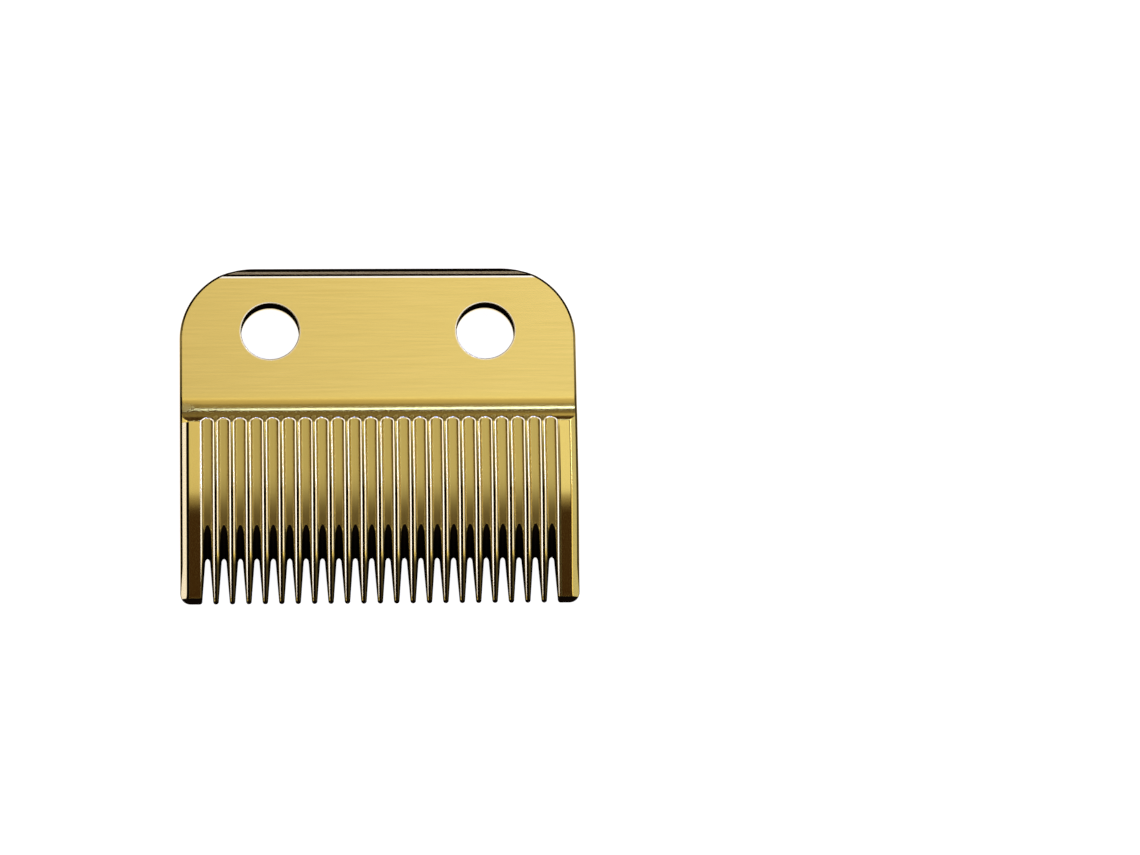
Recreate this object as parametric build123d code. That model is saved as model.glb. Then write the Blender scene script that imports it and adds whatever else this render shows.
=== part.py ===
from build123d import *
from math import cos, radians, sin, tan
import os

# Fixed (lower) blade of a two-screw hair clipper, seen from its skin side.
# One piece of hardened steel: a flat tang with two screw holes, a ramp up to a
# thicker sole, and a toothed nose that tapers to the tips.
# Millimetres. +X runs across the blade, +Y from the tips to the tang's rear
# edge, +Z from the ground cutting face up to the skin side. The origin is
# midway between the screw holes, on the cutting face.

# Plan outline
WIDTH = 46.0
LENGTH = 39.8
REAR_CORNER_RADIUS = 8.7
NOSE_CORNER_RADIUS = 1.2

# Screw holes in the tang
HOLE_DIAMETER = 6.7
HOLE_SPACING = 25.0
HOLES_TO_TIPS = 32.0
HOLE_EDGE_BREAK = 0.06

# Side profile: tang, ramp, sole and nose
TANG_THICKNESS = 2.5
REAR_CHAMFER_WIDTH = 1.0
REAR_CHAMFER_DEPTH = 0.6
SOLE_RISE = 1.0
SOLE_TO_TIPS = 20.95
RAMP_ANGLE = 33.0
RAMP_FOOT_RADIUS = 5.5
RAMP_TOP_RADIUS = 0.5
TIP_THICKNESS = 0.5
NOSE_ANGLE = 13.5
NOSE_BEND_RADIUS = 24.0

# Bevel along both outer edges of the sole
SIDE_BEVEL_WIDTH = 0.9
SIDE_BEVEL_DEPTH = 0.5

# Grooves along the sole, which leave a ridge on each tooth
TOOTH_PITCH = 1.89
GUARD_TOOTH_WIDTH = 2.2
GROOVE_DEPTH = 0.27
GROOVE_FLOOR_WIDTH = 0.84
GROOVE_WALL_ANGLE = 40.0

# Tapered slots between the teeth, cut through at a slant
SLOT_LENGTH = 5.37
SLOT_END_RADIUS = 0.28
SLOT_TAPER_ANGLE = 7.7
SLOT_RAMP_ANGLE = 34.0
TOOTH_TIP_RADIUS = 0.15

# Hollow between the two ground lands of the cutting face
FRONT_LAND = 10.0
HOLLOW_LENGTH = 6.5
HOLLOW_DEPTH = 0.35

# How far cutting tools reach past the metal that they cut
OVERRUN = 2.0
GROOVE_TOOL_RISE = 0.15
SLOT_MOUTH_OVERRUN = 1.0

TIPS_Y = -HOLES_TO_TIPS
REAR_Y = TIPS_Y + LENGTH
SOLE_Z = TANG_THICKNESS + SOLE_RISE
BEND_Y = TIPS_Y + (SOLE_Z - TIP_THICKNESS) / tan(radians(NOSE_ANGLE))


def corners_at(sketch, *places):
    """The corners of a sketch that lie at the given (x, y) places."""
    return [min(sketch.vertices(), key=lambda v: (v.X - x) ** 2 + (v.Y - y) ** 2) for x, y in places]


def side_section():
    """The blade's side profile, drawn as (Y, Z), with the hollow in its cutting face."""
    sole_y = TIPS_Y + SOLE_TO_TIPS
    ramp_foot_y = sole_y + SOLE_RISE / tan(radians(RAMP_ANGLE))
    outline = Polyline(
        (TIPS_Y, 0),
        (REAR_Y, 0),
        (REAR_Y, TANG_THICKNESS - REAR_CHAMFER_DEPTH),
        (REAR_Y - REAR_CHAMFER_WIDTH, TANG_THICKNESS),
        (ramp_foot_y, TANG_THICKNESS),
        (sole_y, SOLE_Z),
        (BEND_Y, SOLE_Z),
        (TIPS_Y, TIP_THICKNESS),
        close=True,
    )
    section = make_face(outline)
    section = fillet(corners_at(section, (ramp_foot_y, TANG_THICKNESS)), RAMP_FOOT_RADIUS)
    section = fillet(corners_at(section, (sole_y, SOLE_Z)), RAMP_TOP_RADIUS)
    section = fillet(corners_at(section, (BEND_Y, SOLE_Z)), NOSE_BEND_RADIUS)
    hollow_radius = (HOLLOW_LENGTH**2 / 4 + HOLLOW_DEPTH**2) / (2 * HOLLOW_DEPTH)
    hollow_y = TIPS_Y + FRONT_LAND + HOLLOW_LENGTH / 2
    return section - Pos(hollow_y, HOLLOW_DEPTH - hollow_radius) * Circle(hollow_radius)


def plan_outline():
    """The blade's outline from above: round rear corners and slightly rounded nose corners."""
    mid_y = (TIPS_Y + REAR_Y) / 2
    outline = Pos(0, mid_y) * Rectangle(WIDTH, LENGTH)
    half = WIDTH / 2
    outline = fillet(corners_at(outline, (-half, REAR_Y), (half, REAR_Y)), REAR_CORNER_RADIUS)
    return fillet(corners_at(outline, (-half, TIPS_Y), (half, TIPS_Y)), NOSE_CORNER_RADIUS)


def blank():
    """The ground blank with its screw holes, before any tooth is cut."""
    body = extrude(Plane.YZ * side_section(), WIDTH / 2, both=True)
    body &= extrude(plan_outline(), SOLE_Z + OVERRUN)
    for x in (-HOLE_SPACING / 2, HOLE_SPACING / 2):
        body -= Pos(x, 0, TANG_THICKNESS / 2) * Cylinder(HOLE_DIAMETER / 2, TANG_THICKNESS + OVERRUN)
        body -= Pos(x, 0, TANG_THICKNESS) * Cone(
            HOLE_DIAMETER / 2, HOLE_DIAMETER / 2 + 2 * HOLE_EDGE_BREAK, 2 * HOLE_EDGE_BREAK
        )
    return body


def along_sole(section, depth):
    """Sweeps a section, drawn as (X, height), along the sole at the given depth under it.

    The path runs from behind the ramp over the nose bend and out past the tips.
    """
    half_turn = radians(NOSE_ANGLE) / 2
    bend = (0, BEND_Y - depth * tan(half_turn), SOLE_Z - depth)
    start = (0, TIPS_Y + SOLE_TO_TIPS + SOLE_RISE / tan(radians(RAMP_ANGLE)) + OVERRUN, SOLE_Z - depth)
    run = bend[1] - TIPS_Y + OVERRUN
    end = (0, bend[1] - run, bend[2] - run * tan(radians(NOSE_ANGLE)))
    path = FilletPolyline(start, bend, end, radius=NOSE_BEND_RADIUS - depth)
    return sweep(Plane(origin=start, x_dir=(1, 0, 0), z_dir=(0, -1, 0)) * section, path)


def groove_tool():
    """The flat-floored channel between two ridges."""
    height = GROOVE_DEPTH + GROOVE_TOOL_RISE
    floor_half = GROOVE_FLOOR_WIDTH / 2
    top_half = floor_half + height / tan(radians(GROOVE_WALL_ANGLE))
    section = make_face(
        Polyline((-floor_half, 0), (floor_half, 0), (top_half, height), (-top_half, height), close=True)
    )
    return along_sole(section, GROOVE_DEPTH)


def side_bevel_tool():
    """The wedge that bevels the sole's right-hand edge."""
    edge = WIDTH / 2
    slope = SIDE_BEVEL_DEPTH / SIDE_BEVEL_WIDTH
    reach = SIDE_BEVEL_WIDTH + OVERRUN
    section = make_face(
        Polyline(
            (edge + OVERRUN, -OVERRUN * slope),
            (edge + OVERRUN, SIDE_BEVEL_DEPTH + OVERRUN * slope),
            (edge + OVERRUN - reach - OVERRUN, SIDE_BEVEL_DEPTH + OVERRUN * slope),
            close=True,
        )
    )
    return along_sole(section, SIDE_BEVEL_DEPTH)


def slot_tool():
    """The tapered, round-ended gap between two teeth, leaning back from the cutting face.

    Its section is drawn square to the lean, with the round end towards the tang.
    """
    lean = radians(SLOT_RAMP_ANGLE)
    taper = radians(SLOT_TAPER_ANGLE)
    centre = (TIPS_Y + SLOT_LENGTH) * sin(lean) - SLOT_END_RADIUS
    mouth = TIPS_Y * sin(lean) - SLOT_MOUTH_OVERRUN
    mouth_half = SLOT_END_RADIUS / cos(taper) + (centre - mouth) * tan(taper)
    side_x = SLOT_END_RADIUS * cos(taper)
    side_y = centre + SLOT_END_RADIUS * sin(taper)
    sides = Polyline((-side_x, side_y), (-mouth_half, mouth), (mouth_half, mouth), (side_x, side_y))
    end = ThreePointArc((side_x, side_y), (0, centre + SLOT_END_RADIUS), (-side_x, side_y))
    square_to_lean = Plane(
        origin=(0, TIPS_Y * cos(lean) ** 2, TIPS_Y * cos(lean) * sin(lean)),
        x_dir=(1, 0, 0),
        z_dir=(0, cos(lean), sin(lean)),
    )
    return extrude(square_to_lean * make_face(sides + end), LENGTH / 2, both=True)


def fixed_blade():
    """The finished blade: grooves and slots repeated across the sole at the tooth pitch."""
    count = int((WIDTH - 2 * GUARD_TOOTH_WIDTH) / TOOTH_PITCH)
    places = [(i - (count - 1) / 2) * TOOTH_PITCH for i in range(count)]
    groove, slot = groove_tool(), slot_tool()
    bevel = side_bevel_tool()
    blade = blank() - [bevel, mirror(bevel, Plane.YZ)]
    blade -= [Pos(x, 0, 0) * groove for x in places]
    blade -= [Pos(x, 0, 0) * slot for x in places]
    inner = places[-1] + TOOTH_PITCH / 2
    tip_edges = [
        e
        for e in blade.edges()
        if all(abs(v.Y - TIPS_Y) < 1e-4 and abs(v.X) < inner for v in e.vertices())
        and abs(e.vertices()[0].Z - e.vertices()[-1].Z) > TIP_THICKNESS / 2
    ]
    return fillet(tip_edges, TOOTH_TIP_RADIUS)


os.makedirs("parts", exist_ok=True)
export_step(fixed_blade(), "parts/fixed_blade.step")
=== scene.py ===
import math

import bmesh
import bpy
from mathutils import Matrix, Vector


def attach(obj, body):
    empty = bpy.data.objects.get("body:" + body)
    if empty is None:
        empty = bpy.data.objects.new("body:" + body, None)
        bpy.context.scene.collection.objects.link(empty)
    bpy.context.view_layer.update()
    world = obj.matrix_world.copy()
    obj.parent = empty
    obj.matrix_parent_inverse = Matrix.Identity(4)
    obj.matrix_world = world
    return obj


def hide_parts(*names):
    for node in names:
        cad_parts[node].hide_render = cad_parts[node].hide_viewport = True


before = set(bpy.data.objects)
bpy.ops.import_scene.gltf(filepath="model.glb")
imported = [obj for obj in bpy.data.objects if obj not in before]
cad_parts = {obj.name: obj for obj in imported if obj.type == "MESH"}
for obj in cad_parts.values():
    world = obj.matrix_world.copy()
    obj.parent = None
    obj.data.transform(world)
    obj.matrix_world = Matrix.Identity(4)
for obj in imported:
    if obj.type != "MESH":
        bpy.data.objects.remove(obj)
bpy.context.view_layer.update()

# Coated steel. The whole blade is one piece of hardened carbon steel with a thin
# titanium nitride coating, which gives the ground metal its pale gold. The tang keeps
# the fine cross-wise lines of surface grinding; the sole and grooves are polished.


def linear(hex_colour):
    """An sRGB hex colour as linear RGBA."""
    channels = [int(hex_colour[i : i + 2], 16) / 255 for i in (1, 3, 5)]
    return (*[c / 12.92 if c <= 0.04045 else ((c + 0.055) / 1.055) ** 2.4 for c in channels], 1.0)


def add_node(tree, kind, settings=None, links=None):
    """Adds a node, sets its properties and input values, and links its inputs."""
    node = tree.nodes.new(kind)
    settings = dict(settings or {})
    for name in [name for name in settings if isinstance(name, str) and hasattr(node, name)]:
        setattr(node, name, settings.pop(name))
    sockets = dict(enumerate(node.inputs))
    sockets.update({socket.name: socket for socket in reversed(node.inputs) if socket.enabled})
    for name, value in settings.items():
        sockets[name].default_value = value
    for name, source in (links or {}).items():
        tree.links.new(source, sockets[name])
    return node


MM = 0.001
DEEP_GOLD = "#d8b85a"
PALE_GOLD = "#eccb6e"
RUB_AND_HIGHLIGHT_PALE = "#fff4d6"
CUT_AND_SHADE_DARK = "#120c07"
POLISHED, BRUSHED, AS_CUT_ROUGH = 0.15, 0.26, 0.6
DULL_FROM, DULL_TO = 0.1, 0.4
GRINDING_FROM_Y, GRINDING_TO_Y = -8.5, -7.0
# The real grinding lines are about 0.1 mm apart; they are drawn coarser so that they show.
GRINDING_LINE_SPACING = 0.25
GRINDING_LINE_LENGTH = 9.0

# Polished gold mirrors the studio sharply, the brushed tang spreads it into a soft sheen. The attribute
# read below is 1 where the steel is dark and matt, partly as cut steel and partly as painted shade; 0 where
# the coating is whole; and -1 where it is painted almost white, as if rubbed: a painted highlight tint.
coated_steel = bpy.data.materials.new("titanium_nitride_on_ground_steel")
coated_steel.use_nodes = True
steel_tree = coated_steel.node_tree
steel = steel_tree.nodes["Principled BSDF"]
steel.inputs["Metallic"].default_value = 1.0
cut_and_light_share = add_node(steel_tree, "ShaderNodeAttribute", {"attribute_name": "cut_and_painted_light"}).outputs["Fac"]
on_blade = add_node(steel_tree, "ShaderNodeTexCoord").outputs["Object"]
along = add_node(steel_tree, "ShaderNodeSeparateXYZ", links={0: on_blade}).outputs["Y"]
tang_share = add_node(
    steel_tree,
    "ShaderNodeMapRange",
    {"From Min": GRINDING_FROM_Y * MM, "From Max": GRINDING_TO_Y * MM},
    {"Value": along},
).outputs[0]
stretched = add_node(
    steel_tree,
    "ShaderNodeMapping",
    {"Scale": (1 / (GRINDING_LINE_LENGTH * MM), 1 / (GRINDING_LINE_SPACING * MM), 0.0)},
    {"Vector": on_blade},
)
grinding = add_node(
    steel_tree, "ShaderNodeTexNoise", {"Scale": 1.0, "Detail": 3.0}, {"Vector": stretched.outputs[0]}
)
streaks = add_node(
    steel_tree, "ShaderNodeMath", {"operation": "MULTIPLY"}, {0: grinding.outputs[0], 1: tang_share}
)
gold = add_node(
    steel_tree,
    "ShaderNodeMix",
    {"data_type": "RGBA", "A": linear(DEEP_GOLD), "B": linear(PALE_GOLD)},
    {"Factor": streaks.outputs[0]},
)
highlight_share = add_node(
    steel_tree, "ShaderNodeMapRange", {"From Min": 0.0, "From Max": -1.0}, {"Value": cut_and_light_share}
)
highlight_tinted = add_node(
    steel_tree,
    "ShaderNodeMix",
    {"data_type": "RGBA", "B": linear(RUB_AND_HIGHLIGHT_PALE)},
    {"A": gold.outputs[2], "Factor": highlight_share.outputs[0]},
)
colour = add_node(
    steel_tree,
    "ShaderNodeMix",
    {"data_type": "RGBA", "B": linear(CUT_AND_SHADE_DARK)},
    {"A": highlight_tinted.outputs[2], "Factor": cut_and_light_share},
)
# Where the steel is painted dark, a dark edge tint also darkens its grazing reflections: painted shade.
edge_tint = add_node(
    steel_tree,
    "ShaderNodeMix",
    {"data_type": "RGBA", "A": linear("#ffffff"), "B": linear(CUT_AND_SHADE_DARK)},
    {"Factor": cut_and_light_share},
)
ground = add_node(steel_tree, "ShaderNodeMix", {"A": POLISHED, "B": BRUSHED}, {"Factor": tang_share})
dull_share = add_node(
    steel_tree, "ShaderNodeMapRange", {"From Min": DULL_FROM, "From Max": DULL_TO}, {"Value": cut_and_light_share}
)
roughness = add_node(
    steel_tree,
    "ShaderNodeMix",
    {"B": AS_CUT_ROUGH},
    {"Factor": dull_share.outputs[0], "A": ground.outputs[0]},
)
steel_tree.links.new(colour.outputs[2], steel.inputs["Base Color"])
steel_tree.links.new(edge_tint.outputs[2], steel.inputs["Specular Tint"])
steel_tree.links.new(roughness.outputs[0], steel.inputs["Roughness"])

# The toothed nose. Grooves are ground along the sole and slanted slots are cut through
# from the tips, so each tooth is a tapered spike with a narrow round-shouldered ridge.
# One tooth is drawn station by station from the tips to the tang and then repeated.

# Millimetres; v is the distance from the tips and u the distance from a groove's middle.
WIDTH = 46.0
HOLES_TO_TIPS = 32.0
TANG_THICKNESS = 2.5
SOLE_RISE = 1.0
SOLE_Z = TANG_THICKNESS + SOLE_RISE
SOLE_TO_TIPS = 20.95
RAMP = math.radians(33.0)
RAMP_FOOT_RADIUS = 5.5
RAMP_TOP_RADIUS = 0.5
TIP_THICKNESS = 0.5
NOSE = math.radians(13.5)
NOSE_BEND_RADIUS = 24.0
NOSE_CORNER_RADIUS = 1.2
TOOTH_PITCH = 1.89
TOOTH_COUNT = 21
HALF_PITCH = TOOTH_PITCH / 2
GROOVE_DEPTH = 0.27
GROOVE_FLOOR_HALF = 0.42
GROOVE_WALL = math.radians(40.0)
GROOVE_CORNER_RADIUS = 0.05
GROOVE_END = 0.1
GROOVE_END_STRETCH = 0.7
SLOT_LENGTH = 5.37
SLOT_END_RADIUS = 0.28
SLOT_TAPER = math.radians(7.7)
SLOT_LEAN = math.radians(34.0)
SLOT_DRAFT = math.radians(3.0)
SLOT_EDGE_ROUND = 0.1
SLOT_EDGE_SHARE = 0.45
TIP_RADIUS = 0.28
TIP_ROUND_LENGTH = 1.3
TIP_ROUND_DROP = 0.26
BLUNT_TIP = 0.61
FRONT_LAND = 10.0
HOLLOW_LENGTH = 6.5
HOLLOW_DEPTH = 0.35
CREST_BLEND = 0.14
ARCH_BLEND = 0.09
ARCH_APPROACH = 1.2
UNDER_RIM = 0.06
UNDER_RIM_SHARE = 0.4
SLOT_STEPS, EDGE_STEPS, CREST_STEPS = 6, 4, 8
CLOSEST_STATIONS = 0.004
SAME_POINT = 0.0004
NEARLY = 1e-6

# Painted light, in values of the attribute: floors darker and rougher, shoulders given a pale painted
# highlight tint, crests painted darker towards the tips as painted shade.
FLOOR_DULLNESS = 0.2
SOLE_HIGHLIGHT_RUB, NOSE_HIGHLIGHT_RUB = 0.55, 0.9
NOSE_HIGHLIGHT_FROM, NOSE_HIGHLIGHT_TO = 16.0, 11.0
RIGHT_HIGHLIGHT_SHARE = 0.55
# Painted shade on flanks that face right: on the wall beside the slot, and on the shoulder near the tip.
WALL_DARKNESS = 0.92
WALL_DARK_FROM, WALL_DARK_TO = 10.0, 8.5
SHOULDER_DARKNESS = 0.9
SHOULDER_DARK_FROM, SHOULDER_DARK_TO = SLOT_LENGTH + 0.8, SLOT_LENGTH - 1.0
# Painted shade on the crests, darker towards the tips, and at the ridge's end by the ramp.
CREST_SHADE_LENGTH = 8.0
CREST_SHADE_POWER = 0.9
SOLE_CREST_HALF, NOSE_CREST_HALF = 0.09, 0.125
NOSE_CREST_FROM = 13.0
RIDGE_END_DARKNESS = 0.6
RIDGE_END_HALF = 0.2
RIDGE_END_LENGTH = 0.45

bend_v = (SOLE_Z - TIP_THICKNESS) / math.tan(NOSE)
bend_start = bend_v + NOSE_BEND_RADIUS * math.tan(NOSE / 2)
bend_end = bend_start - NOSE_BEND_RADIUS * math.sin(NOSE)
sole_end = SOLE_TO_TIPS - RAMP_TOP_RADIUS * math.tan(RAMP / 2)
ramp_start = sole_end + RAMP_TOP_RADIUS * math.sin(RAMP)
tang_start = SOLE_TO_TIPS + SOLE_RISE / math.tan(RAMP) + RAMP_FOOT_RADIUS * math.tan(RAMP / 2)
ramp_end = tang_start - RAMP_FOOT_RADIUS * math.sin(RAMP)
corner_start = GROOVE_FLOOR_HALF - GROOVE_CORNER_RADIUS * math.tan(GROOVE_WALL / 2)
corner_end = corner_start + GROOVE_CORNER_RADIUS * math.sin(GROOVE_WALL)


def progress(value, start, end):
    """How far a value has gone from start to end, from 0 to 1."""
    return min(1.0, max(0.0, (value - start) / (end - start)))


def spaced(start, end, steps):
    """Evenly spaced values from start to end, without the first."""
    return [start + (end - start) * k / steps for k in range(1, steps + 1)]


def rounded(before, corner, after, steps):
    """A rounded corner between two points, without the first."""
    points = []
    for k in range(1, steps + 1):
        s = k / steps
        trios = zip(before, corner, after)
        points.append(tuple(a * (1 - s) ** 2 + 2 * b * s * (1 - s) + c * s**2 for a, b, c in trios))
    return points


def sole_path(v, depth=0.0):
    """Height of the sole at v, or of a path at a depth square to it."""
    radius = NOSE_BEND_RADIUS - depth
    if v >= bend_start:
        return SOLE_Z - depth
    if v >= bend_start - radius * math.sin(NOSE):
        return SOLE_Z - NOSE_BEND_RADIUS + math.sqrt(radius**2 - (bend_start - v) ** 2)
    return TIP_THICKNESS + v * math.tan(NOSE) - depth / math.cos(NOSE)


def sole_tilt(v):
    """How far the groove floor leans down towards the tips."""
    return min(NOSE, math.asin(progress(v, bend_start, bend_start - NOSE_BEND_RADIUS + GROOVE_DEPTH)))


def skin_height(v):
    """Height of the ungrooved skin side: rounded tip, nose, sole, ramp and tang."""
    if v > tang_start:
        return TANG_THICKNESS
    if v > ramp_end:
        return TANG_THICKNESS + RAMP_FOOT_RADIUS - math.sqrt(RAMP_FOOT_RADIUS**2 - (tang_start - v) ** 2)
    if v > ramp_start:
        return SOLE_Z - (v - SOLE_TO_TIPS) * math.tan(RAMP)
    if v > sole_end:
        return SOLE_Z - RAMP_TOP_RADIUS + math.sqrt(RAMP_TOP_RADIUS**2 - (v - sole_end) ** 2)
    if v < TIP_ROUND_LENGTH:
        return sole_path(v) - TIP_ROUND_DROP * (1 - math.sqrt(1 - (1 - v / TIP_ROUND_LENGTH) ** 2))
    return sole_path(v)


def cutting_face(v):
    """Height of the cutting face, which is hollow between its two ground lands."""
    radius = (HOLLOW_LENGTH**2 / 4 + HOLLOW_DEPTH**2) / (2 * HOLLOW_DEPTH)
    off = v - FRONT_LAND - HOLLOW_LENGTH / 2
    if abs(off) >= HOLLOW_LENGTH / 2:
        return 0.0
    return max(0.0, HOLLOW_DEPTH - radius + math.sqrt(radius**2 - off**2))


def groove_rise(u):
    """Height above the groove floor at u."""
    if u <= corner_start:
        return 0.0
    if u <= corner_end:
        return GROOVE_CORNER_RADIUS - math.sqrt(GROOVE_CORNER_RADIUS**2 - (u - corner_start) ** 2)
    return (u - GROOVE_FLOOR_HALF) * math.tan(GROOVE_WALL)


def groove_reach(rise):
    """Distance from the groove's middle at which its wall has risen so far."""
    if rise >= GROOVE_CORNER_RADIUS * (1 - math.cos(GROOVE_WALL)):
        return GROOVE_FLOOR_HALF + rise / math.tan(GROOVE_WALL)
    return corner_start + math.sqrt(GROOVE_CORNER_RADIUS**2 - (GROOVE_CORNER_RADIUS - max(0.0, rise)) ** 2)


def slot_half(v, z):
    """Half width of the slanted slot at v and height z, wider towards the skin side."""
    radius = SLOT_END_RADIUS + max(0.0, z) * math.tan(SLOT_DRAFT)
    off = (v - SLOT_LENGTH) * math.sin(SLOT_LEAN) + radius - z * math.cos(SLOT_LEAN)
    if off >= radius:
        return 0.0
    tip = 0.0
    if v < TIP_RADIUS:
        tip = TIP_RADIUS - math.sqrt(TIP_RADIUS**2 - (TIP_RADIUS - v) ** 2)
    tangent = radius * math.sin(SLOT_TAPER)
    if off >= tangent:
        return tip + math.sqrt(radius**2 - off**2)
    return tip + radius * math.cos(SLOT_TAPER) + (tangent - off) * math.tan(SLOT_TAPER)


def slot_floor(v):
    """Height of the slot's slanted end, where it has reached v."""
    return max(0.0, (v - SLOT_LENGTH) * math.tan(SLOT_LEAN))


def groove_side(v):
    """Section of one side of a groove at v, from its middle out past the crest's shoulder.

    Each point is (u, z, painted-light value): up the wall of the slot, if it reaches so far, then along
    the floor, round its corner, up the wall and over the shoulder.
    """
    top = skin_height(v)
    floor = sole_path(v, GROOVE_DEPTH)
    tilt = math.cos(sole_tilt(v))
    near_ramp = progress(v, SOLE_TO_TIPS - ARCH_APPROACH, SOLE_TO_TIPS)
    blend = CREST_BLEND + (ARCH_BLEND - CREST_BLEND) * near_ramp
    highlight_rub = max(SOLE_HIGHLIGHT_RUB + (NOSE_HIGHLIGHT_RUB - SOLE_HIGHLIGHT_RUB) * progress(v, NOSE_HIGHLIGHT_FROM, NOSE_HIGHLIGHT_TO), near_ramp)
    past_end = max(0.0, v - SOLE_TO_TIPS + GROOVE_END) * GROOVE_END_STRETCH

    def groove_z(u):
        """Height of the groove's own form."""
        return floor + groove_rise(math.hypot(u, past_end)) / tilt

    def surface(u):
        """Height of the ground steel, rounded where the groove meets the skin side."""
        overlap = max(0.0, blend - abs(groove_z(u) - top))
        return min(groove_z(u), top) - overlap**2 / (4 * blend)

    def highlight_and_dulling(u):
        """The painted value there: a pale painted highlight tint on the shoulder, darker and rougher on the
        floor.
        """
        away = abs(groove_z(u) - top)
        if away < blend:
            return -highlight_rub * progress(away, blend, blend / 3)
        on_floor = math.hypot(u, past_end) <= corner_start + NEARLY and top > floor
        return FLOOR_DULLNESS if on_floor else 0.0

    low = slot_floor(v)
    if low < surface(0.0) - NEARLY:
        # Halving the gap finds where the slot's wall comes out through the ground steel.
        below, above = low, top
        for _ in range(50):
            between = (below + above) / 2
            if surface(slot_half(v, between)) > between:
                below = between
            else:
                above = between
        edge_u, edge_z = slot_half(v, below), below
        drop = min(SLOT_EDGE_ROUND, SLOT_EDGE_SHARE * (edge_z - low))
        reach = min(SLOT_EDGE_ROUND, SLOT_EDGE_SHARE * (HALF_PITCH - edge_u), drop)
        heights = [low + (edge_z - drop - low) * (k / SLOT_STEPS) ** 2 for k in range(SLOT_STEPS + 1)]
        # The slot's wall is dark and matt: cut steel, and painted shade where it would mirror the bright
        # floor.
        points = [(slot_half(v, z), z, 1.0) for z in heights]
        corner = (edge_u, edge_z, 1.0 if reach else highlight_and_dulling(0.0))
    else:
        edge_u, reach = 0.0, 0.0
        corner = (0.0, surface(0.0), highlight_and_dulling(0.0))
        points = [corner] * (SLOT_STEPS + 1)
    inside = edge_u + reach
    points += rounded(points[-1], corner, (inside, surface(inside), highlight_and_dulling(inside)), EDGE_STEPS)
    crest_u = max(math.sqrt(max(0.0, groove_reach((top - floor) * tilt) ** 2 - past_end**2)), inside)
    turn = blend * tilt / math.tan(GROOVE_WALL)
    turn_start = min(max(crest_u - turn, inside), HALF_PITCH)
    turn_end = min(max(crest_u + turn, turn_start), HALF_PITCH)
    floor_end = min(max(math.sqrt(max(0.0, corner_start**2 - past_end**2)), inside), turn_start)
    wall_start = min(max(math.sqrt(max(0.0, corner_end**2 - past_end**2)), inside), turn_start)
    steps = spaced(inside, floor_end, 2) + spaced(floor_end, wall_start, 3)
    steps += spaced(wall_start, turn_start, 2) + spaced(turn_start, turn_end, CREST_STEPS)
    return points + [(u, surface(u), highlight_and_dulling(u)) for u in steps]


def stations():
    """Distances from the tips at which the nose is drawn: close together where its shape turns."""
    quarter = [math.radians(a) for a in range(0, 91, 10)]
    slot_end = SLOT_END_RADIUS / math.sin(SLOT_LEAN)
    slot_peak = SLOT_LENGTH
    for _ in range(60):
        slot_peak += 0.5 * (sole_path(slot_peak, GROOVE_DEPTH) - slot_floor(slot_peak))
    groove_foot = RAMP_FOOT_RADIUS + TANG_THICKNESS - SOLE_Z + GROOVE_DEPTH
    run_out = tang_start - math.sqrt(RAMP_FOOT_RADIUS**2 - groove_foot**2)
    # The round tips, the guard teeth's corners and the tapered teeth.
    values = [TIP_RADIUS * (1 - math.cos(a)) for a in quarter[::2]]
    values += [NOSE_CORNER_RADIUS * (1 - math.cos(a)) for a in quarter[1:]]
    values += [BLUNT_TIP + 0.005] + spaced(1.1, 4.3, 8) + [4.6]
    # The slot's round end, first on the cutting face and then on the groove floor.
    values += [SLOT_LENGTH - slot_end * (1 - math.sin(a)) for a in quarter]
    values += spaced(5.4, 7.4, 5)
    values += [slot_peak - 1.1 * (1 - math.sin(a)) for a in quarter]
    # The lands of the cutting face, the bend of the nose and the flat of the sole.
    values += [bend_end - 0.4, FRONT_LAND, FRONT_LAND + HOLLOW_LENGTH]
    values += [bend_end] + spaced(bend_end, bend_start, 14)
    values += [18.0, sole_end - 0.6]
    # The ramp's top edge, the arches in which the grooves run out, and the ramp's foot.
    values += [sole_end] + spaced(sole_end, ramp_start, 6)
    values += [SOLE_TO_TIPS - 0.15 + (run_out + 0.25 - SOLE_TO_TIPS) * k / 20 for k in range(21)]
    values += [tang_start - (tang_start - run_out - 0.1) * (1 - k / 12) ** 1.5 for k in range(1, 13)]
    kept = []
    for v in sorted(values):
        if not kept or v - kept[-1] > CLOSEST_STATIONS:
            kept.append(v)
    kept[-1] = tang_start
    return kept


def right_facing(points, v):
    """Points of a flank that faces right: a weaker painted highlight tint, and painted shade beside the slot
    and near the tip.
    """
    wall = WALL_DARKNESS * progress(v, WALL_DARK_FROM, WALL_DARK_TO)
    shoulder = SHOULDER_DARKNESS * progress(v, SHOULDER_DARK_FROM, SHOULDER_DARK_TO)
    finished = []
    for u, z, cut in points:
        dark = max(wall, shoulder) if cut >= 0.0 and u > corner_end else shoulder
        cut = max(cut, RIGHT_HIGHLIGHT_SHARE * cut)
        finished.append((u, z, cut + (1.0 - cut) * dark))
    return finished


def place(x, v, z):
    """A point in metres in the blade's frame, from x, the distance from the tips and the height."""
    return Vector((x, v - HOLES_TO_TIPS, z)) * MM


def skin_over(bm, rows):
    """Joins rows of (point, painted-light value) into a surface of quads and returns its vertices, row by
    row.
    """
    cut_and_painted_light = bm.verts.layers.float.get("cut_and_painted_light") or bm.verts.layers.float.new("cut_and_painted_light")
    grid = [[bm.verts.new(point) for point, cut in row] for row in rows]
    for row, verts in zip(rows, grid):
        for (point, cut), vert in zip(row, verts):
            vert[cut_and_painted_light] = cut
    for near, far in zip(grid, grid[1:]):
        for k in range(len(near) - 1):
            bm.faces.new((near[k], near[k + 1], far[k + 1], far[k]))
    return grid


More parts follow.
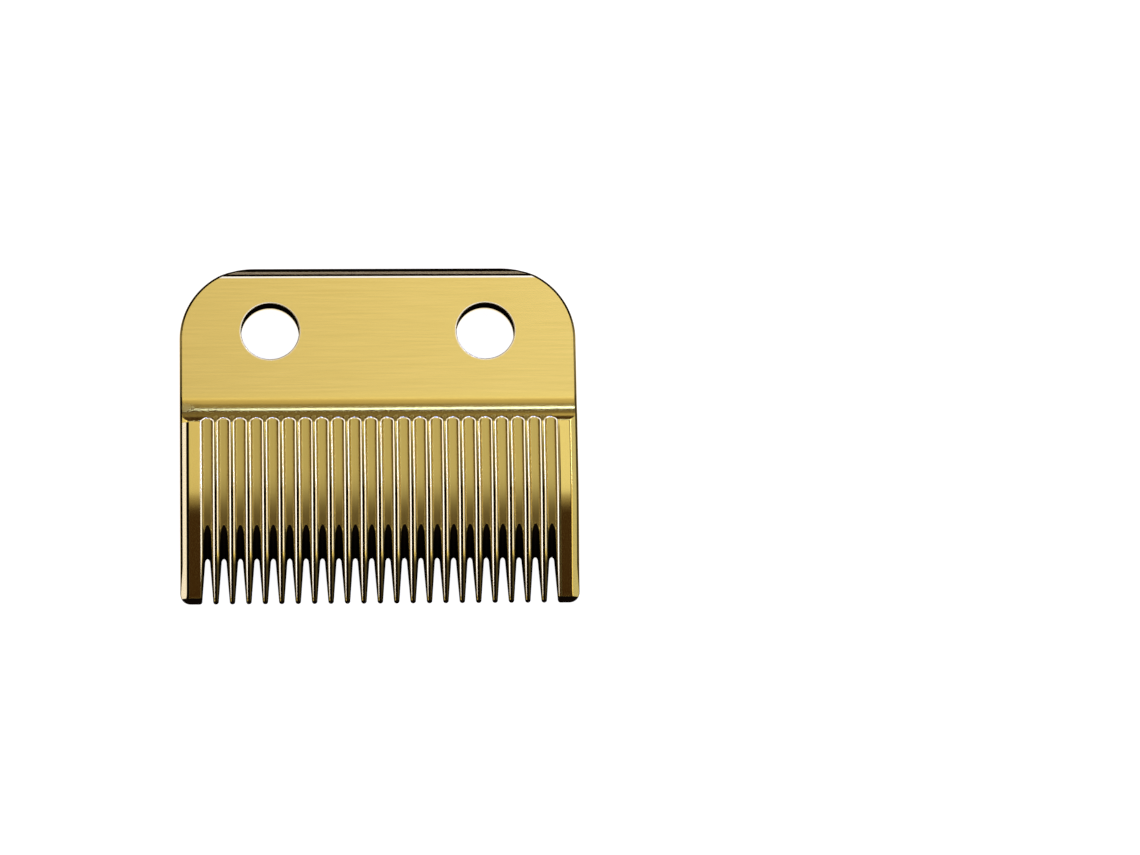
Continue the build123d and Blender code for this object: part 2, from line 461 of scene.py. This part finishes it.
rows_v = stations()
tooth_bm = bmesh.new()
skin_rows, under_rows = [], []
for v in rows_v:
    half = groove_side(v)
    half += [(u, half[-1][1], 0.0) for u in spaced(half[-1][0], HALF_PITCH, 2)]
    # Crests are painted darker towards the tips and at the ridge's end: painted shade.
    crest_shade = progress(v, sole_end, sole_end - CREST_SHADE_LENGTH) ** CREST_SHADE_POWER
    crest_half = SOLE_CREST_HALF if v > NOSE_CREST_FROM else NOSE_CREST_HALF
    if sole_end < v < ramp_start + RIDGE_END_LENGTH:
        crest_shade, crest_half = RIDGE_END_DARKNESS, RIDGE_END_HALF
    half = [(u, z, crest_shade if u > HALF_PITCH - crest_half else cut) for u, z, cut in half]
    # The round tips are painted dark all over: painted shade.
    if v < TIP_RADIUS:
        half = [(u, z, 1.0) for u, z, cut in half]
    left = [(place(u - HALF_PITCH, v, z), cut) for u, z, cut in half]
    right = [(place(HALF_PITCH - u, v, z), cut) for u, z, cut in reversed(right_facing(half[:-1], v))]
    skin_rows.append(left + right)
    # The underside's rim is painted dark in the slot and at the very tip: painted shade.
    in_slot = v <= SLOT_LENGTH + NEARLY
    foot_x = HALF_PITCH - (half[0][0] if v <= SLOT_LENGTH else 0.0)
    rim_x = foot_x - min(UNDER_RIM, UNDER_RIM_SHARE * foot_x)
    face_shade = 0.0 if v > 0.0 else 1.0
    foot = ((foot_x, float(in_slot)), (rim_x, face_shade), (-rim_x, face_shade), (-foot_x, float(in_slot)))
    under_rows.append([(place(x, v, cutting_face(v)), cut) for x, cut in foot])
tooth_grid = skin_over(tooth_bm, skin_rows)
skin_over(tooth_bm, under_rows)
tooth_bm.faces.new(tooth_grid[0])
bmesh.ops.remove_doubles(tooth_bm, verts=tooth_bm.verts, dist=SAME_POINT * MM)
tooth_mesh = bpy.data.meshes.new("tooth")
tooth_bm.to_mesh(tooth_mesh)
tooth_bm.free()
tooth = bpy.data.objects.new("tooth", tooth_mesh)
bpy.context.collection.objects.link(tooth)

comb = bpy.data.node_groups.new("teeth_at_pitch", "GeometryNodeTree")
comb.interface.new_socket("Tooth", in_out="INPUT", socket_type="NodeSocketGeometry")
count_socket = comb.interface.new_socket("Tooth count", in_out="INPUT", socket_type="NodeSocketInt")
pitch_socket = comb.interface.new_socket("Tooth pitch", in_out="INPUT", socket_type="NodeSocketFloat")
metal_socket = comb.interface.new_socket("Metal", in_out="INPUT", socket_type="NodeSocketMaterial")
comb.interface.new_socket("Comb", in_out="OUTPUT", socket_type="NodeSocketGeometry")
inputs = add_node(comb, "NodeGroupInput").outputs
gaps = add_node(comb, "ShaderNodeMath", {"operation": "SUBTRACT", 1: 1.0}, {0: inputs["Tooth count"]})
span = add_node(
    comb, "ShaderNodeMath", {"operation": "MULTIPLY"}, {0: gaps.outputs[0], 1: inputs["Tooth pitch"]}
)
first_x = add_node(comb, "ShaderNodeMath", {"operation": "MULTIPLY", 1: -0.5}, {0: span.outputs[0]})
first_place = add_node(comb, "ShaderNodeCombineXYZ", links={"X": first_x.outputs[0]})
pitch_step = add_node(comb, "ShaderNodeCombineXYZ", links={"X": inputs["Tooth pitch"]})
tooth_places = add_node(
    comb,
    "GeometryNodeMeshLine",
    {"mode": "OFFSET"},
    {
        "Count": inputs["Tooth count"],
        "Start Location": first_place.outputs[0],
        "Offset": pitch_step.outputs[0],
    },
)
teeth = add_node(
    comb,
    "GeometryNodeInstanceOnPoints",
    links={"Points": tooth_places.outputs[0], "Instance": inputs["Tooth"]},
)
real_teeth = add_node(comb, "GeometryNodeRealizeInstances", links={"Geometry": teeth.outputs[0]})
metal_teeth = add_node(
    comb,
    "GeometryNodeSetMaterial",
    links={"Geometry": real_teeth.outputs[0], "Material": inputs["Metal"]},
)
add_node(comb, "NodeGroupOutput", links={"Comb": metal_teeth.outputs[0]})
repeat = tooth.modifiers.new("teeth_at_pitch", "NODES")
repeat.node_group = comb
repeat[count_socket.identifier] = TOOTH_COUNT
repeat[pitch_socket.identifier] = TOOTH_PITCH * MM
repeat[metal_socket.identifier] = coated_steel
depsgraph = bpy.context.evaluated_depsgraph_get()
comb_mesh = bpy.data.meshes.new_from_object(tooth.evaluated_get(depsgraph))
bpy.data.objects.remove(tooth)
blade = bmesh.new()
blade.from_mesh(comb_mesh)

# The guard teeth. The two outermost teeth are wide and blunt, with a bevel along the outer
# edge of the sole and a rounded corner in plan, so that they don't scratch the skin.

SIDE_BEVEL_WIDTH = 0.9
SIDE_BEVEL_DEPTH = 0.5
BEVEL_SLOPE = SIDE_BEVEL_DEPTH / SIDE_BEVEL_WIDTH
EDGE_ROUND = 0.3
EDGE_ROUND_SHARE = 0.3
EDGE_ROUND_STEPS = 4
EDGE_DARK_STEPS = 2
EDGE_LINE = 0.01
CREASE_HALF = 0.15
CREASE_SHARE = 0.4
CREASE_END = 1.1
GUARD_FACE_DARK = 0.05
CREST_SHADE_FROM, CREST_SHADE_TO = 0.02, 0.14
GUARD_SHADE_LENGTH = 6.0
GUARD_SHADE_POWER = 0.6
RAMP_DULL_AT = tang_start - 1.28
RAMP_DULL_NEAR, RAMP_DULL_FAR = 0.3, 0.9
SHARP_CHANGE = 0.02
UNSHADED_CREST = 6
# (side, then the painted-light values of the bevel's crease, bevel, outer edge, ramp's foot and crest:
# darker where positive, as painted shade, and a pale painted highlight tint where negative)
guard_painted_light = ((1, 0.1, 0.0, 0.9, 0.0, 0.9), (-1, 1.0, -0.5, 1.0, 0.3, 0.0))

guard_groove_x = TOOTH_COUNT * HALF_PITCH


def guard_section(v, flank, crease_shade, bevel_paint, edge_shade, ramp_dulling, crest_dark):
    """Section of a guard tooth at v, as (x, z, painted-light value): groove side, crest, bevel and side."""
    points = [(guard_groove_x + u, z, cut) for u, z, cut in flank]
    top = skin_height(v)
    side = WIDTH / 2
    if v < NOSE_CORNER_RADIUS:
        side -= NOSE_CORNER_RADIUS - math.sqrt(NOSE_CORNER_RADIUS**2 - (NOSE_CORNER_RADIUS - v) ** 2)
    bevel_foot = sole_path(v) - SIDE_BEVEL_DEPTH
    bevel_x = min(side, WIDTH / 2 - max(0.0, top - bevel_foot) / BEVEL_SLOPE)
    side_z = min(top, bevel_foot + (WIDTH / 2 - side) * BEVEL_SLOPE)
    inset = min(EDGE_ROUND, EDGE_ROUND_SHARE * side_z)
    turn = min(CREASE_HALF, CREASE_SHARE * max(0.0, side - bevel_x - inset))
    bend_x = min(bevel_x, side - inset)
    ramp_dull = ramp_dulling * progress(abs(RAMP_DULL_AT - v), RAMP_DULL_FAR, RAMP_DULL_NEAR)
    if v >= sole_end:
        crease_shade = bevel_paint = ramp_dull
    crest_shade = crest_dark * progress(v, sole_end, sole_end - GUARD_SHADE_LENGTH) ** GUARD_SHADE_POWER
    crest_x = points[-1][0]
    crest_end = crest_x + CREST_SHADE_TO + SHARP_CHANGE
    points += [(crest_x + off, top, crest_shade) for off in (CREST_SHADE_FROM, CREST_SHADE_TO)]
    points.append((crest_end, top, 0.0))
    flat = spaced(crest_end, bend_x - turn - SHARP_CHANGE, 3)
    points += [(x, top, ramp_dull * k / len(flat)) for k, x in enumerate(flat, 1)]
    points += [(bend_x + off, top - max(0.0, off) * BEVEL_SLOPE, crease_shade) for off in (-turn, 0.0, turn)]
    points.append((bend_x + CREASE_END * turn, top - CREASE_END * turn * BEVEL_SLOPE, bevel_paint))
    edge_start = (side - inset, min(top, side_z + inset * BEVEL_SLOPE), bevel_paint)
    line_drop = EDGE_LINE * BEVEL_SLOPE if side_z < top else 0.0
    points += [edge_start, (edge_start[0] + EDGE_LINE, edge_start[1] - line_drop, edge_shade)]
    turned = rounded(edge_start[:2], (side, side_z), (side, side_z - inset), EDGE_ROUND_STEPS)
    points += [(x, z, edge_shade if k < EDGE_DARK_STEPS else 0.0) for k, (x, z) in enumerate(turned)]
    return points + [(side, side_z - inset - SHARP_CHANGE, 0.0), (side, cutting_face(v), 0.0)]


for hand, *painted_values in guard_painted_light:
    skin_rows, under_rows = [], []
    for v in rows_v:
        flank = groove_side(v)
        if hand < 0:
            flank = right_facing(flank[:-UNSHADED_CREST], v) + flank[-UNSHADED_CREST:]
        section = guard_section(v, flank, *painted_values)
        # The guard's blunt tip is painted dark: painted shade.
        tip_shade = 1.0 if v < BLUNT_TIP else 0.0
        row = [(place(hand * x, v, z), cut + (1.0 - cut) * tip_shade) for x, z, cut in section]
        skin_rows.append(row)
        # The underside's rim is painted dark in the slot and at the very tip: painted shade.
        in_slot = v <= SLOT_LENGTH + NEARLY
        foot_x = section[0][0] if v <= SLOT_LENGTH else guard_groove_x
        side_x = section[-1][0]
        face_shade = 0.0 if v > GUARD_FACE_DARK else 1.0
        foot = (
            (side_x, tip_shade),
            (side_x - UNDER_RIM, face_shade),
            (foot_x + UNDER_RIM, face_shade),
            (foot_x, float(in_slot)),
        )
        under_rows.append([(place(hand * x, v, cutting_face(v)), cut) for x, cut in foot])
    guard_grid = skin_over(blade, skin_rows)
    skin_over(blade, under_rows)
    blade.faces.new(guard_grid[0])
bmesh.ops.remove_doubles(blade, verts=blade.verts, dist=SAME_POINT * MM)

# The tang. A flat plate behind the ramp with round rear corners, a chamfer along the rear
# edge and two oversize screw holes, by which the blade is set and screwed down.

LENGTH = 39.8
REAR_CORNER_RADIUS = 8.7
REAR_CHAMFER_WIDTH = 1.0
REAR_CHAMFER_DEPTH = 0.6
# A painted highlight band on the rear chamfer, and painted shade along the tang's outer edge, darkest along
# the rear.
CHAMFER_HIGHLIGHT = -0.7
SIDE_EDGE_SHADE, REAR_EDGE_SHADE = 0.6, 1.0
REAR_FACING = 1 / 3
HOLE_RADIUS = 3.35
HOLE_SPACING = 25.0
HOLE_EDGE_BREAK = 0.06
HOLE_HALO = 0.12
HOLE_HIGHLIGHT = -0.6
HOLE_SHADE_FOOT, HOLE_HIGHLIGHT_TOP = 0.52, 0.44
HOLE_STEPS = 96
SHARP_ANGLE = math.radians(40)
ON_PLANE = 1e-8

rear_y = LENGTH - HOLES_TO_TIPS
corner_x = WIDTH / 2 - REAR_CORNER_RADIUS
corner_y = rear_y - REAR_CORNER_RADIUS
chamfer_y = rear_y - REAR_CHAMFER_WIDTH
# Lines along the chamfer's crease, which paint bright highlight and dark shade bands: (distance behind the
# crease, painted-light value there).
crease_lines = (
    (-0.36, 0.0),
    (-0.34, -1.0),
    (-0.16, -1.0),
    (-0.14, 1.0),
    (0.12, 1.0),
    (0.14, CHAMFER_HIGHLIGHT),
    (0.46, CHAMFER_HIGHLIGHT),
    (0.48, 1.0),
)
crease_reach = REAR_CORNER_RADIUS - EDGE_ROUND
crease_angles = [math.asin((chamfer_y + off - corner_y) / crease_reach) for off, cut in crease_lines]
turn_angles = [math.radians(a) for a in range(0, 91, 3)]
turn_angles = [a for a in turn_angles if not crease_angles[0] < a < crease_angles[-1]]
turn_angles = sorted(turn_angles + crease_angles)
# The outline from the right-hand end of the ramp round to the left: (outward x, y, x, y).
outline = [(1.0, 0.0, WIDTH / 2, tang_start - HOLES_TO_TIPS)]
for a in turn_angles:
    nx, ny = math.cos(a), math.sin(a)
    outline.append((nx, ny, corner_x + REAR_CORNER_RADIUS * nx, corner_y + REAR_CORNER_RADIUS * ny))
outline += [(-nx, ny, -x, y) for nx, ny, x, y in reversed(outline)]


def tang_top(y):
    """Height of the tang's skin side at y, with the chamfer along its rear edge."""
    return TANG_THICKNESS - max(0.0, y - chamfer_y) * REAR_CHAMFER_DEPTH / REAR_CHAMFER_WIDTH


edge_rows = []
for nx, ny, x, y in outline:
    inner_y = y - ny * EDGE_ROUND
    line_y = inner_y + ny * EDGE_LINE
    brim = tang_top(y)
    brow = (x - nx * EDGE_ROUND, inner_y, tang_top(inner_y))
    edge_points = [brow, (brow[0] + nx * EDGE_LINE, line_y, tang_top(line_y))]
    edge_points += rounded(brow, (x, y, brim), (x, y, brim - EDGE_ROUND), EDGE_ROUND_STEPS)
    edge_points += [(x, y, brim - EDGE_ROUND - SHARP_CHANGE), (x, y, 0.0)]
    edge_points.append((x - nx * UNDER_RIM, y - ny * UNDER_RIM, 0.0))
    passed = [cut for off, cut in crease_lines if inner_y - chamfer_y > off - NEARLY] or [0.0]
    # The tang's outer edge is painted dark: painted shade.
    edge_shade = SIDE_EDGE_SHADE + (REAR_EDGE_SHADE - SIDE_EDGE_SHADE) * progress(ny, 0.0, REAR_FACING)
    cuts = [passed[-1]] + [edge_shade] * (1 + EDGE_DARK_STEPS)
    cuts += [0.0] * (len(edge_points) - len(cuts))
    edge_rows.append([(Vector(point) * MM, cut) for point, cut in zip(edge_points, cuts)])
skin_over(blade, edge_rows)

# A hole's wall from its halo on the tang down to the cutting face: (radius, z, painted-light value).
# The halo is a painted highlight ring, the upper wall painted shade, and the low band pale as if burnished,
# which also paints a highlight.
hole_brim = HOLE_RADIUS + HOLE_EDGE_BREAK
hole_profile = (
    (hole_brim + HOLE_HALO + SHARP_CHANGE, TANG_THICKNESS, 0.0),
    (hole_brim + HOLE_HALO, TANG_THICKNESS, HOLE_HIGHLIGHT),
    (hole_brim, TANG_THICKNESS, HOLE_HIGHLIGHT),
    (hole_brim - SHARP_CHANGE, TANG_THICKNESS - SHARP_CHANGE / 2, 1.0),
    (HOLE_RADIUS, TANG_THICKNESS - HOLE_EDGE_BREAK, 1.0),
    (HOLE_RADIUS, HOLE_SHADE_FOOT, 1.0),
    (HOLE_RADIUS, HOLE_HIGHLIGHT_TOP, HOLE_HIGHLIGHT),
    (HOLE_RADIUS, HOLE_EDGE_BREAK, HOLE_HIGHLIGHT),
    (hole_brim, 0.0, 0.0),
    (HOLE_RADIUS + HOLE_HALO, 0.0, 0.0),
)
for hole_x in (-HOLE_SPACING / 2, HOLE_SPACING / 2):
    rings = []
    for k in range(HOLE_STEPS + 1):
        a = 2 * math.pi * (k % HOLE_STEPS) / HOLE_STEPS
        ring = []
        for radius, z, cut in hole_profile:
            ring.append((Vector((hole_x + radius * math.cos(a), radius * math.sin(a), z)) * MM, cut))
        rings.append(ring)
    skin_over(blade, rings)
bmesh.ops.remove_doubles(blade, verts=blade.verts, dist=SAME_POINT * MM)
blade.verts.ensure_lookup_table()


def brow_vertex(k):
    """The blade's vertex at the inner end of the tang's rounded edge, at outline point k."""
    point = edge_rows[k][0][0]
    return min(blade.verts, key=lambda vert: (vert.co - point).length_squared)


last = len(outline) - 1
crease_at = [1 + turn_angles.index(a) for a in crease_angles]
blade.faces.new([brow_vertex(k) for k in range(crease_at[-1], last + 1 - crease_at[-1])])
for near, far in zip(crease_at, crease_at[1:]):
    blade.faces.new([brow_vertex(k) for k in (near, far, last - far, last - near)])
for face in blade.faces:
    face.smooth = True
open_edges = [edge for edge in blade.edges if len(edge.link_faces) == 1]
for z, up in ((TANG_THICKNESS, 1), (0.0, -1)):
    brim_edges = []
    for edge in open_edges:
        if all(abs(vert.co.z - z * MM) < ON_PLANE for vert in edge.verts):
            brim_edges.append(edge)
    plate = bmesh.ops.triangle_fill(
        blade, use_beauty=True, use_dissolve=False, edges=brim_edges, normal=(0, 0, up)
    )
    for face in plate["geom"]:
        if isinstance(face, bmesh.types.BMFace):
            face.smooth = False
bmesh.ops.recalc_face_normals(blade, faces=blade.faces)
for edge in blade.edges:
    edge.smooth = edge.calc_face_angle(math.pi) < SHARP_ANGLE
blade_mesh = bpy.data.meshes.new("fixed_blade_steel")
blade.to_mesh(blade_mesh)
blade.free()
blade_mesh.materials.clear()
blade_mesh.materials.append(coated_steel)
blade_mesh.polygons.foreach_set("material_index", [0] * len(blade_mesh.polygons))
fixed_blade = bpy.data.objects.new("fixed_blade_steel", blade_mesh)
bpy.context.collection.objects.link(fixed_blade)
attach(fixed_blade, "root")
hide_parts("fixed_blade")

# The stage. A plain white paper floor under the blade, and soft boxes all round it: a nest
# of them overhead, strips behind the tang, a row down each side, and low ones in front and
# at the corners, which light the blade's edges when it is seen from elsewhere.

FLOOR_REACH = 12.0
FLOOR_DROP = 0.03
PAPER_GLOW = 0.92

floor_mesh = bpy.data.meshes.new("floor")
floor_corners = [(-1, -1), (1, -1), (1, 1), (-1, 1)]
floor_mesh.from_pydata(
    [(x * FLOOR_REACH, y * FLOOR_REACH, -FLOOR_DROP * MM) for x, y in floor_corners], [], [(0, 1, 2, 3)]
)
floor = bpy.data.objects.new("floor", floor_mesh)
bpy.context.collection.objects.link(floor)
# Matt paper that the eye and the metal see as white, and that still takes the blade's shadow.
paper = bpy.data.materials.new("white_paper")
paper.use_nodes = True
paper_tree = paper.node_tree
paper_tree.nodes.clear()
rays = add_node(paper_tree, "ShaderNodeLightPath").outputs
direct = add_node(
    paper_tree,
    "ShaderNodeMath",
    {"operation": "MAXIMUM"},
    {0: rays["Is Camera Ray"], 1: rays["Is Glossy Ray"]},
)
seen = add_node(
    paper_tree,
    "ShaderNodeMath",
    {"operation": "MAXIMUM"},
    {0: direct.outputs[0], 1: rays["Is Transmission Ray"]},
)
glow = add_node(paper_tree, "ShaderNodeMath", {"operation": "MULTIPLY", 1: PAPER_GLOW}, {0: seen.outputs[0]})
matt = add_node(paper_tree, "ShaderNodeBsdfDiffuse", {"Color": linear("#8c8c8c")})
white = add_node(paper_tree, "ShaderNodeEmission", links={"Strength": glow.outputs[0]})
sheet = add_node(paper_tree, "ShaderNodeAddShader", links={0: matt.outputs[0], 1: white.outputs[0]})
add_node(paper_tree, "ShaderNodeOutputMaterial", links={"Surface": sheet.outputs[0]})
floor_mesh.materials.append(paper)

BLADE_MIDDLE = Vector((0.0, -12.2 * MM, 1.2 * MM))
LIGHT_DISTANCE = 0.8
WHITE, PALE, SKY, COOL, BLUE = "#ffffff", "#e6ebff", "#c4d4ff", "#acc5ff", "#8fa8ff"
# (name, degrees towards the rear from and to, degrees towards the right from and to, degrees turned
# about the upright, colour, radiance); the boxes at the sides are cooler than those overhead
soft_boxes = (
    ("overhead_box", -0.5, 21.0, -6.0, 15.0, 0, WHITE, 0.35),
    ("overhead_middle", -4.5, 23.0, -5.0, 15.0, 0, WHITE, 0.18),
    ("overhead_wide", -7.0, 25.0, -10.0, 15.0, 0, WHITE, 0.14),
    ("overhead_wider", -8.0, 27.0, -10.0, 15.0, 0, WHITE, 0.08),
    ("overhead_right_a", -1.0, 22.0, -5.0, 18.0, 0, COOL, 0.32),
    ("overhead_right_b", -1.0, 22.0, -1.0, 18.0, 0, COOL, 0.32),
    ("overhead_right_c", -1.0, 22.0, 3.0, 18.0, 0, COOL, 0.3),
    ("overhead_right_d", -1.0, 22.0, 7.0, 18.0, 0, COOL, 0.36),
    ("rear_wide", 20.0, 35.0, -20.0, 28.0, 0, WHITE, 0.4),
    ("rear_wider", 20.0, 47.0, -20.0, 28.0, 0, WHITE, 0.3),
    ("rear_strip", 41.5, 43.7, -30.5, 31.5, 40, BLUE, 24.0),
    ("rear_card", 55.0, 70.0, -40.0, 40.0, 0, WHITE, 0.16),
    ("left_box", -20.0, 45.0, -54.0, -34.0, 0, PALE, 2.2),
    ("left_middle_box", -20.0, 45.0, -64.0, -54.0, 0, PALE, 1.35),
    ("left_low_box", -20.0, 45.0, -84.0, -64.0, 0, WHITE, 0.12),
    ("right_box", -20.0, 45.0, 34.0, 55.0, 0, WHITE, 1.7),
    ("right_low_box", -20.0, 45.0, 55.0, 68.0, 0, SKY, 1.35),
    ("right_lowest_box", -20.0, 45.0, 68.0, 84.0, 0, WHITE, 0.3),
    ("front_box", -84.0, -32.0, -40.0, 40.0, 0, WHITE, 0.8),
    ("front_left_box", -60.0, -24.0, -80.0, -42.0, 0, WHITE, 0.8),
    ("front_right_box", -60.0, -24.0, 42.0, 80.0, 0, WHITE, 0.8),
    ("rear_left_box", 48.0, 76.0, -80.0, -42.0, 0, WHITE, 0.8),
    ("rear_right_box", 48.0, 76.0, 42.0, 80.0, 0, WHITE, 0.8),
)
for name, rear_from, rear_to, right_from, right_to, turned, tone, radiance in soft_boxes:
    lamp = bpy.data.lights.new(name, "AREA")
    lamp.shape = "RECTANGLE"
    lamp.size = 2 * LIGHT_DISTANCE * math.tan(math.radians(right_to - right_from) / 2)
    lamp.size_y = 2 * LIGHT_DISTANCE * math.tan(math.radians(rear_to - rear_from) / 2)
    lamp.color = linear(tone)[:3]
    lamp.energy = radiance * math.pi * lamp.size * lamp.size_y
    box = bpy.data.objects.new(name, lamp)
    tilts = (-(rear_from + rear_to) / 2, (right_from + right_to) / 2, -turned)
    box.rotation_euler = [math.radians(tilt) for tilt in tilts]
    box.location = BLADE_MIDDLE + box.rotation_euler.to_matrix() @ Vector((0, 0, LIGHT_DISTANCE))
    bpy.context.collection.objects.link(box)

world = bpy.data.worlds.new("studio")
world.use_nodes = True
world.node_tree.nodes["Background"].inputs["Color"].default_value = linear("#3f2a1c")
bpy.context.scene.world = world

# The camera looks down on the blade from the side of its tips, with a long lens, and is
# turned aside so that the blade lies left of the picture's middle.

CAMERA_DISTANCE = 0.75
CAMERA_HEIGHT_ANGLE = math.radians(74.5)
CAMERA_SIDE_ANGLE = math.radians(-1.5)
CAMERA_ROLL = math.radians(0.25)
SENSOR_WIDTH = 36.0
PIXELS_PER_MM = 8.63
IMAGE_WIDTH, IMAGE_HEIGHT = 1140, 855
BLADE_PIXEL = (378.7, 434.3)

camera_data = bpy.data.cameras.new("camera")
camera_data.sensor_width = SENSOR_WIDTH
camera_data.lens = SENSOR_WIDTH * CAMERA_DISTANCE / (IMAGE_WIDTH / PIXELS_PER_MM * MM)
camera_data.clip_end = 100.0
camera = bpy.data.objects.new("camera", camera_data)
bpy.context.collection.objects.link(camera)
bpy.context.scene.camera = camera
towards = Vector(
    (
        math.sin(CAMERA_SIDE_ANGLE),
        -math.cos(CAMERA_SIDE_ANGLE) * math.cos(CAMERA_HEIGHT_ANGLE),
        math.cos(CAMERA_SIDE_ANGLE) * math.sin(CAMERA_HEIGHT_ANGLE),
    )
)
camera.location = BLADE_MIDDLE + towards * CAMERA_DISTANCE
level = (Vector((1, 0, 0)) - towards * towards.x).normalized()
upward = towards.cross(level)
right_pixels = IMAGE_WIDTH / 2 - BLADE_PIXEL[0]
up_pixels = BLADE_PIXEL[1] - IMAGE_HEIGHT / 2
aim = BLADE_MIDDLE + (level * right_pixels + upward * up_pixels) * (MM / PIXELS_PER_MM)
back = (camera.location - aim).normalized()
across = (level - back * level.dot(back)).normalized()
facing = Matrix((across, back.cross(across), back)).transposed()
camera.rotation_euler = (facing @ Matrix.Rotation(-CAMERA_ROLL, 3, "Z")).to_euler()

bpy.context.scene.view_settings.view_transform = "Standard"
